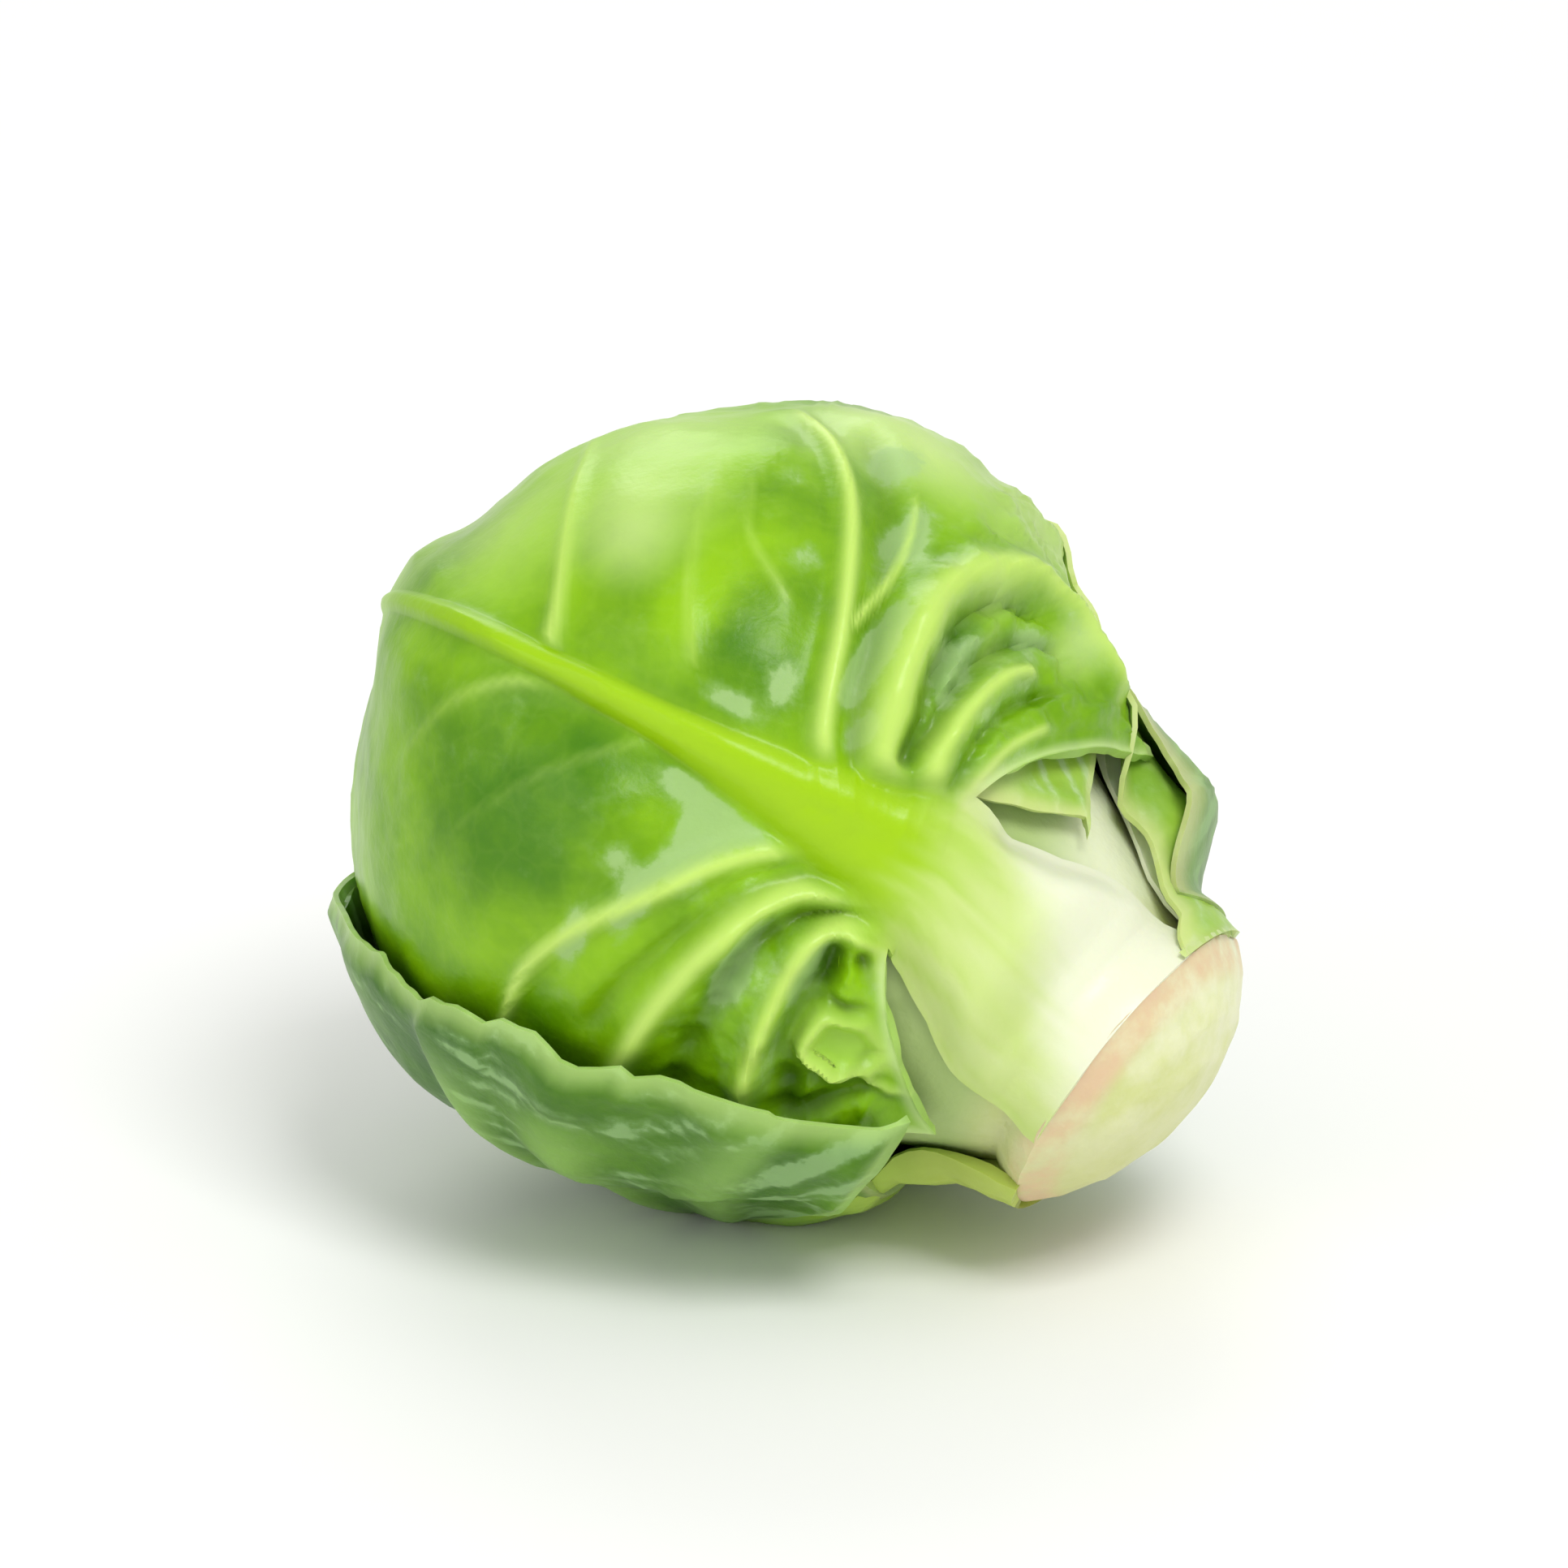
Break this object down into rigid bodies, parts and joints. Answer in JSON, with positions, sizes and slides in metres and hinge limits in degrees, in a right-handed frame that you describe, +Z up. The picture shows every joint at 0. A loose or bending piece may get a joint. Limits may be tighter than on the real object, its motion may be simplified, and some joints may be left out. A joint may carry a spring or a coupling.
{
  "type": "brussels sprout",
  "caption": "Trimmed leafy green bud lying on its side, with a short cut stem, a pale heart and ribbed wrapping leaves with waved margins.",
  "frame": {"origin": "centre of the bounding box on the surface that the sprout lies on", "axes": "+Z up, +X towards the side that the cut stem points to, -Y towards the side with the ribbed front leaf"},
  "size_m": [0.0366, 0.0356, 0.0324],
  "materials": {
    "stem": "pale yellow-white moist plant tissue, matt",
    "front_leaf": "bright yellow-green leaf with paler ribs and a waxy bloom, satin",
    "outer_leaf": "deeper green leaf with a waxy bloom, satin"
  },
  "bodies": {
    "root": {"stem_and_heart": "stem", "leaf_front": "front_leaf", "leaf_under": "outer_leaf", "leaf_right_outer": "outer_leaf", "leaf_right_inner": "outer_leaf", "leaf_back": "front_leaf", "leaf_top": "front_leaf"}
  },
  "joints": []
}
